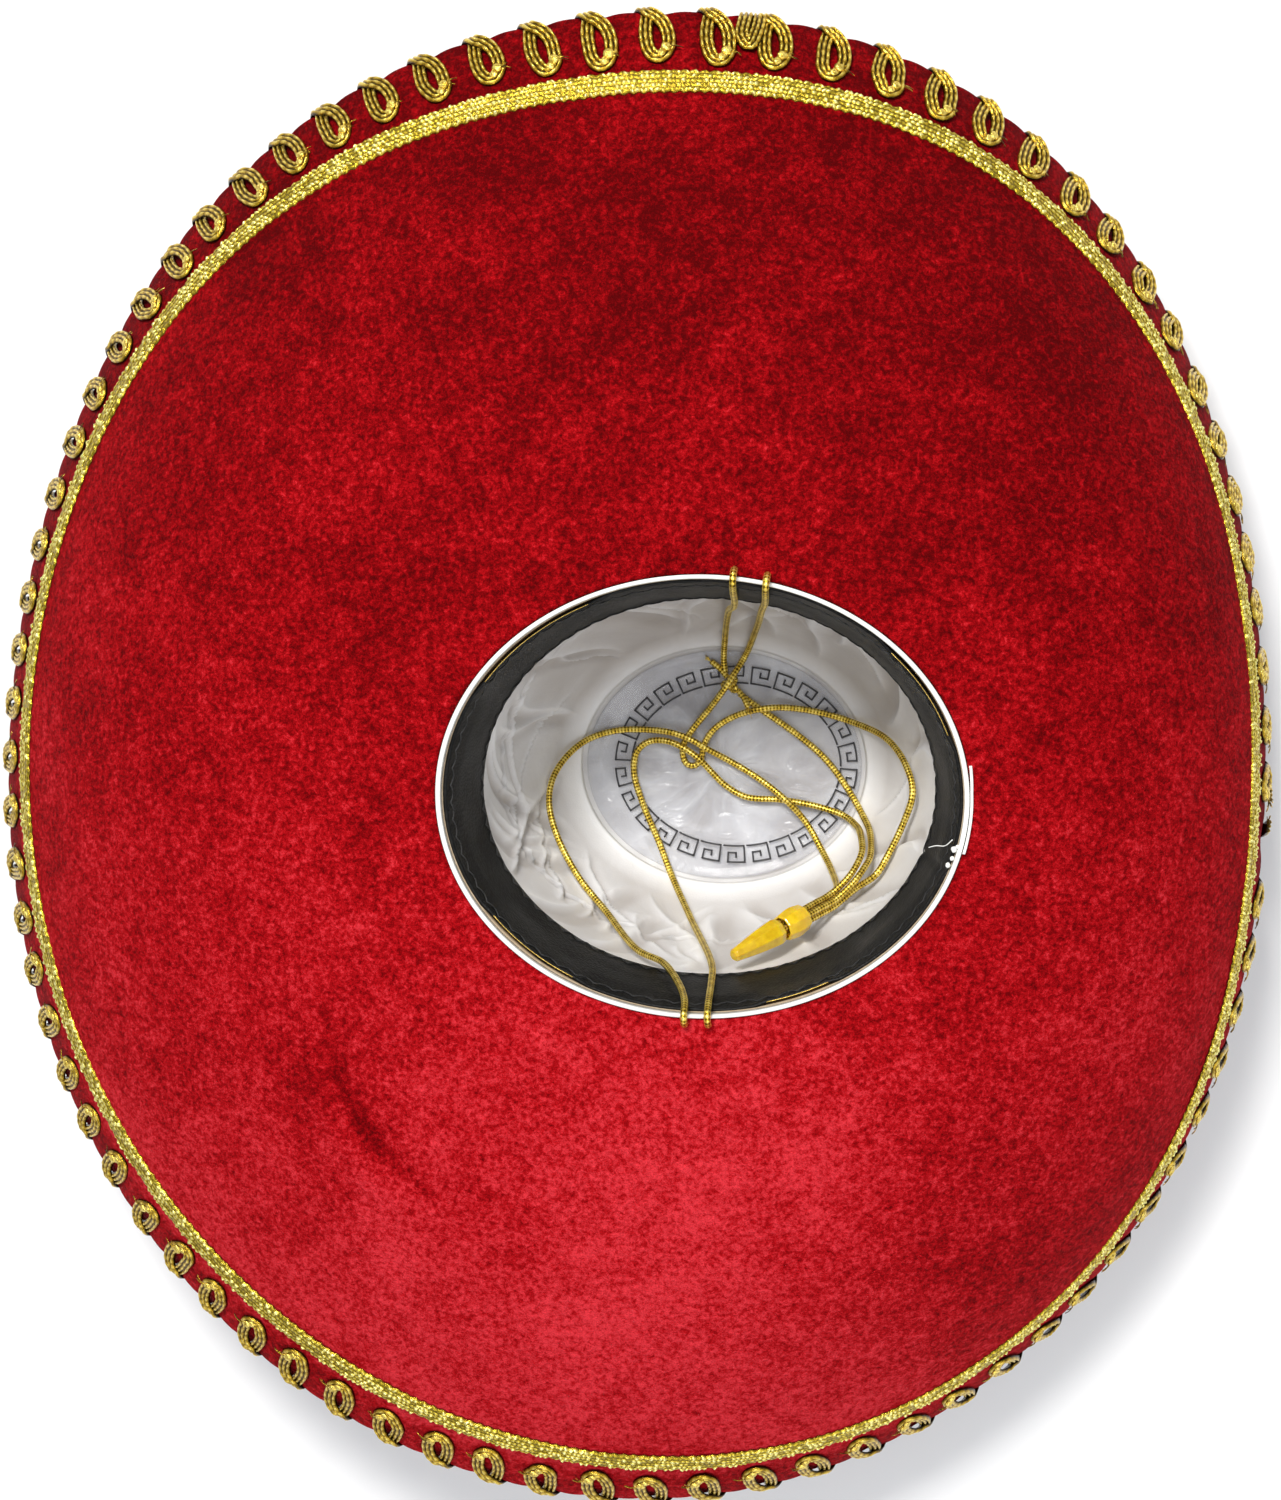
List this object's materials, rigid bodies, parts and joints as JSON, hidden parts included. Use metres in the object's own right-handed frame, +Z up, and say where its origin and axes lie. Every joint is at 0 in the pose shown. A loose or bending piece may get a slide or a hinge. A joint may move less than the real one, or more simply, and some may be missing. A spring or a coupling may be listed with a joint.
{
  "type": "sombrero",
  "caption": "Wide-brimmed charro hat lying on its crown: velvet over a curled board brim, looped gold braid edge, lined crown, and a chin cord with a sliding bead.",
  "frame": {"origin": "on the surface the hat rests on, below the middle of the box round the hat without its chin cord", "axes": "+Z up out of the upturned crown, +X towards the wearer's back, +Y towards the wearer's left"},
  "size_m": [0.5278, 0.6018, 0.1593],
  "materials": {
    "crimson_velvet": "crushed velvet pile",
    "gold_braid": "woven metallic yarn",
    "stiffened_board": "raw",
    "steel_wire": "drawn",
    "white_plastic": "satin",
    "black_vinyl": "embossed, slightly glossy",
    "lining_cloth": "thin, creased",
    "clear_plastic": "clear, slightly hazy",
    "gold_cord": "plaited metallic yarn",
    "yellow_plastic": "moulded, faceted"
  },
  "bodies": {
    "hat": {"brim_board": "stiffened_board", "upper_brim_velvet": "crimson_velvet", "under_brim_velvet": "crimson_velvet", "brim_wire": "steel_wire", "under_brim_braid": "gold_braid", "upper_brim_braid": "gold_braid", "edge_loop_braid": "gold_braid", "crown_board": "stiffened_board", "crown_velvet": "crimson_velvet", "hatband_cord_1": "gold_cord", "hatband_cord_2": "gold_cord", "head_strip": "white_plastic", "sweatband_tape": "gold_braid", "sweatband": "black_vinyl", "lining_side": "lining_cloth", "lining_tip": "lining_cloth", "tip_patch": "clear_plastic", "chin_cord_left_front": "gold_cord", "chin_cord_left_stitch": "gold_cord", "chin_cord_left_back": "gold_cord", "chin_cord_tail": "gold_cord", "chin_cord_right_front": "gold_cord", "chin_cord_right_stitch": "gold_cord", "chin_cord_right_back": "gold_cord", "cord_knot": "gold_cord", "cord_end": "yellow_plastic"},
    "bead": {"slide_bead": "yellow_plastic"}
  },
  "joints": [
    {"name": "bead_slide", "type": "slide", "parent": "hat", "child": "bead", "axis": [0.6734, 0.3049, -0.6734], "range_m": [0, 0.012]}
  ]
}
